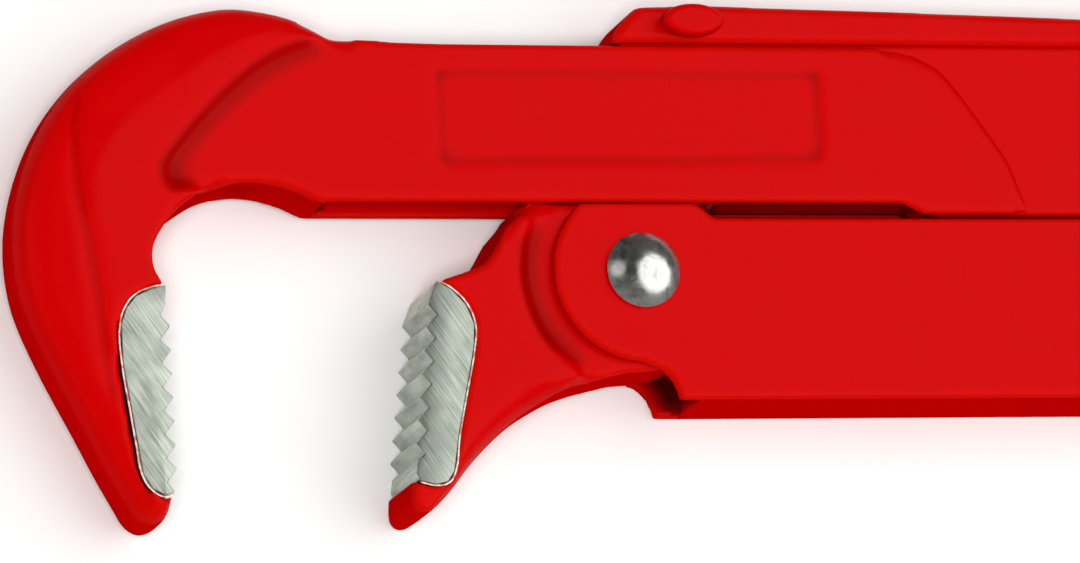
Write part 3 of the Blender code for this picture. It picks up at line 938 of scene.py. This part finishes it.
@dataclass
class Pivot:
    """The polished pivot rivet in its bush."""

    finishes: Finishes
    shank_mm: float = 4.0
    head_mm: float = 6.75
    rim_mm: float = 0.45

    def rivet(self) -> bpy.types.Object:
        """Turns the rivet: a plain shank, a short cylindrical rim and a low dome.

        Returns:
            The rivet.
        """
        seat = 19.3
        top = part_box("pivot_rivet")[1].z * 1000
        rise = top - seat - self.rim_mm
        ball = (self.head_mm ** 2 + rise ** 2) / (2 * rise)
        widest = math.asin(self.head_mm / ball)
        arcs = [widest * (1 - n / 14) for n in range(15)]
        dome = [(ball * math.sin(a), top - ball * (1 - math.cos(a))) for a in arcs]
        profile = [(0.0, 0.0), (self.shank_mm - 0.4, 0.0), (self.shank_mm, 0.4), (self.shank_mm, seat),
                   (self.head_mm - 0.3, seat), (self.head_mm, seat + 0.2)] + dome
        return turned(profile, Matrix(), "pivot_rivet_polished", 96)

    def build(self) -> None:
        """Builds and dresses the rivet and dresses its bush."""
        hand_over(self.rivet(), Body.LEVER, self.finishes.polished, ("pivot_rivet",))
        keep("pivot_bush", self.finishes.black)


@dataclass
class Adjuster:
    """The screw that carries the arm, its pin, the knurled nut and the two thrust washers."""

    finishes: Finishes
    pitch_mm: float = 3.0
    major_mm: float = 3.5
    core_mm: float = 2.7
    eye_mm: float = 4.4
    nut_mm: float = 9.0
    knurls: int = 36
    knurl_depth_mm: float = 0.5
    washer_mm: float = 7.0

    def along_x(self, left: float, y: float) -> Matrix:
        """The matrix that lays an axis drawn along Z down along X, in millimetres, from the left end."""
        return Matrix.Translation((left, y, MID * 1000)) @ Matrix.Rotation(math.pi / 2, 4, "Y")

    def screw(self) -> bpy.types.Object:
        """Turns the screw's core and eye, and winds its thread round the core.

        Returns:
            The screw.
        """
        low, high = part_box("adjusting_screw")
        pin, y = low.x * 1000 + self.eye_mm, (low.y + high.y) * 500
        length = high.x * 1000 - pin
        bm = bmesh.new()
        core = [(0.0, 0.0), (self.core_mm, 0.0), (self.core_mm, length - 1.2), (self.core_mm - 0.8, length),
                (0.0, length)]
        verts = [bm.verts.new((radius, 0.0, height)) for radius, height in core]
        edges = [bm.edges.new(pair) for pair in zip(verts, verts[1:])]
        bmesh.ops.spin(
            bm, geom=verts + edges, cent=(0, 0, 0), axis=(0, 0, 1), angle=2 * math.pi, steps=40,
            use_merge=True,
        )
        turns, steps = (length - 12.0) / self.pitch_mm, 28
        root = self.core_mm - 0.1
        ridge = [(root, 8.0), (self.major_mm, 8.75), (self.major_mm, 9.35), (root, 10.1)]
        verts = [bm.verts.new((radius, 0.0, height)) for radius, height in ridge]
        face = bm.faces.new(verts)
        wound = round(turns * steps)
        bmesh.ops.spin(
            bm, geom=[face], cent=(0, 0, 0), axis=(0, 0, 1), dvec=(0, 0, self.pitch_mm / steps),
            angle=2 * math.pi * wound / steps, steps=wound, use_merge=False,
        )
        bmesh.ops.remove_doubles(bm, verts=bm.verts, dist=1e-4)
        bmesh.ops.transform(bm, matrix=self.along_x(pin, y), verts=bm.verts)
        bmesh.ops.create_cone(
            bm, cap_ends=True, segments=40, radius1=self.eye_mm, radius2=self.eye_mm,
            depth=(high.z - low.z) * 1000, matrix=Matrix.Translation((pin, y, MID * 1000)),
        )
        bmesh.ops.recalc_face_normals(bm, faces=bm.faces)
        bmesh.ops.scale(bm, vec=(MM, MM, MM), verts=bm.verts)
        made = finish_mesh(bm, "adjusting_screw_threaded")
        made.data.set_sharp_from_angle(angle=math.radians(35))
        return made

    def ring(
        self, node: str, name: str, outer: float, inner: float, rim: float, steps: int,
    ) -> bpy.types.Object:
        """Turns a ring with rounded rims in the place of a solid.

        Args:
            node: the solid whose place it takes.
            name: the new piece's name.
            outer: the outer radius, in millimetres.
            inner: the bore's radius, in millimetres.
            rim: the width of the rim's chamfer, in millimetres.
            steps: faces round the ring.

        Returns:
            The ring.
        """
        low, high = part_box(node)
        length = (high.x - low.x) * 1000
        profile = [(inner, 0.3), (inner + 0.3, 0.0), (outer - rim, 0.0), (outer - rim * 0.3, rim * 0.3),
                   (outer, rim), (outer, length - rim), (outer - rim * 0.3, length - rim * 0.3),
                   (outer - rim, length), (inner + 0.3, length), (inner, length - 0.3)]
        return turned(profile, self.along_x(low.x * 1000, (low.y + high.y) * 500), name, steps)

    def nut(self) -> bpy.types.Object:
        """Turns the nut and presses its straight knurls into the rim.

        Returns:
            The nut.
        """
        bore, rim_mm, steps = self.major_mm + HOLE_GAP_MM, 0.9, self.knurls * 6
        piece = self.ring("adjusting_nut", "adjusting_nut_knurled", self.nut_mm, bore, rim_mm, steps)
        low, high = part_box("adjusting_nut")
        y = (low.y + high.y) * 500
        for vert in piece.data.vertices:
            across, up = vert.co.y * 1000 - y, vert.co.z * 1000 - MID * 1000
            radius = math.hypot(across, up)
            if radius < self.nut_mm - 1.2:
                continue
            share = (math.atan2(up, across) / (2 * math.pi) * self.knurls) % 1.0
            pressed = radius - self.knurl_depth_mm * (1.0 - abs(2.0 * share - 1.0))
            vert.co.y = (y + across * pressed / radius) * MM
            vert.co.z = MID + up * pressed / radius * MM
        piece.data.set_sharp_from_angle(angle=math.radians(24))
        return piece

    def build(self) -> None:
        """Builds and dresses the screw, the nut, the washers and the pin."""
        hand_over(self.screw(), Body.HOOK, self.finishes.black, ("adjusting_screw",))
        hand_over(self.nut(), Body.NUT, self.finishes.black, ("adjusting_nut",))
        for number in (1, 2):
            node = f"thrust_washer_{number}"
            washer = self.ring(node, f"{node}_ground", self.washer_mm, self.major_mm + HOLE_GAP_MM, 0.25, 64)
            hand_over(washer, Body.LEVER, self.finishes.ground, (node,))
        keep("screw_pin", self.finishes.black)


# ------------------------------------------------------------------------------------------------ studio


@dataclass
class Studio:
    """The white sweep, the soft lights and the camera."""

    sky: float = 0.28
    lens_mm: float = 226.0
    eye: tuple[float, float, float] = (-0.350, -0.26032, 1.14203)
    back: tuple[float, float] = (-0.276, -0.2155)
    roll_degrees: float = -3.66

    def floor(self) -> None:
        """Lays the sweep under the wrench."""
        bm = bmesh.new()
        bmesh.ops.create_grid(bm, x_segments=2, y_segments=2, size=3.0)
        sweep = finish_mesh(bm, "paper_sweep")
        sweep.data.materials.append(PaperSweep().material())

    def light(
        self, name: str, place: tuple[float, float, float], size: float, watts: float, mirrored: bool,
    ) -> None:
        """Adds a round soft box that faces the pivot.

        Args:
            name: the light's name.
            place: where it hangs, in metres.
            size: its diameter, in metres.
            watts: its power.
            mirrored: whether polished metal shows it.
        """
        lamp = bpy.data.lights.new(name, "AREA")
        lamp.energy, lamp.size, lamp.shape = watts, size, "DISK"
        box = bpy.data.objects.new(name, lamp)
        bpy.context.scene.collection.objects.link(box)
        box.location = place
        box.visible_glossy = mirrored
        box.rotation_euler = (-Vector(place)).to_track_quat("-Z", "Y").to_euler()

    def world(self) -> None:
        """Sets a grey surround, brightest in front and dimmest overhead and behind the wrench's top."""
        world = bpy.data.worlds.new("studio")
        bpy.context.scene.world = world
        world.use_nodes = True
        tree = world.node_tree
        way = add(tree, "ShaderNodeTexCoord", {}).outputs["Generated"]
        parts = add(tree, "ShaderNodeSeparateXYZ", {}, {"Vector": way})
        level = add(tree, "ShaderNodeMapRange", {
            "From Min": -0.7, "From Max": 0.6, "To Min": self.sky, "To Max": self.sky * 0.3,
        }, {"Value": parts.outputs["Y"]})
        side = add(tree, "ShaderNodeMapRange", {
            "From Min": 0.6, "From Max": 0.95, "To Min": 1.0, "To Max": 0.25,
        }, {"Value": parts.outputs["Z"]})
        both = add(tree, "ShaderNodeMath", {"operation": "MULTIPLY"}, {})
        tree.links.new(level.outputs["Result"], both.inputs[0])
        tree.links.new(side.outputs["Result"], both.inputs[1])
        tree.links.new(both.outputs["Value"], tree.nodes["Background"].inputs["Strength"])
        tree.nodes["Background"].inputs["Color"].default_value = linear("FFFFFF")

    def camera(self) -> None:
        """Sets the camera above the jaws, a little to the left of and below the pivot."""
        back = Vector((*self.back, math.sqrt(1.0 - self.back[0] ** 2 - self.back[1] ** 2)))
        level = Vector((0, 1, 0)).cross(back).normalized()
        upright = back.cross(level)
        roll = math.radians(self.roll_degrees)
        right = level * math.cos(roll) + upright * math.sin(roll)
        up = upright * math.cos(roll) - level * math.sin(roll)
        lens = bpy.data.cameras.new("camera")
        lens.lens, lens.sensor_width = self.lens_mm, 36.0
        lens.clip_start, lens.clip_end = 0.05, 20.0
        camera = bpy.data.objects.new("camera", lens)
        bpy.context.scene.collection.objects.link(camera)
        place = Matrix((right, up, back)).transposed().to_4x4()
        place.translation = Vector(self.eye)
        camera.matrix_world = place
        bpy.context.scene.camera = camera

    def build(self) -> None:
        """Sets up the floor, the lights and the camera."""
        bpy.context.scene.view_settings.view_transform = "Standard"
        self.floor()
        self.world()
        self.light("key", (-0.5, -0.38, 1.62), 0.6, 18.0, mirrored=False)
        self.light("window", (0.80, 0.02, 1.26), 2.1, 19.0, mirrored=True)
        self.light("strip", (-1.02, 0.31, 1.08), 0.8, 1.2, mirrored=True)
        self.camera()


def main() -> None:
    """Builds the wrench, then the studio."""
    finishes = Finishes.mixed()
    for assembly in (
        HookJaw(finishes), JawLever(finishes), UpperHandle(finishes), LowerHandle(finishes), Pivot(finishes),
        Adjuster(finishes), Studio(),
    ):
        assembly.build()


if __name__ == "__main__":
    main()
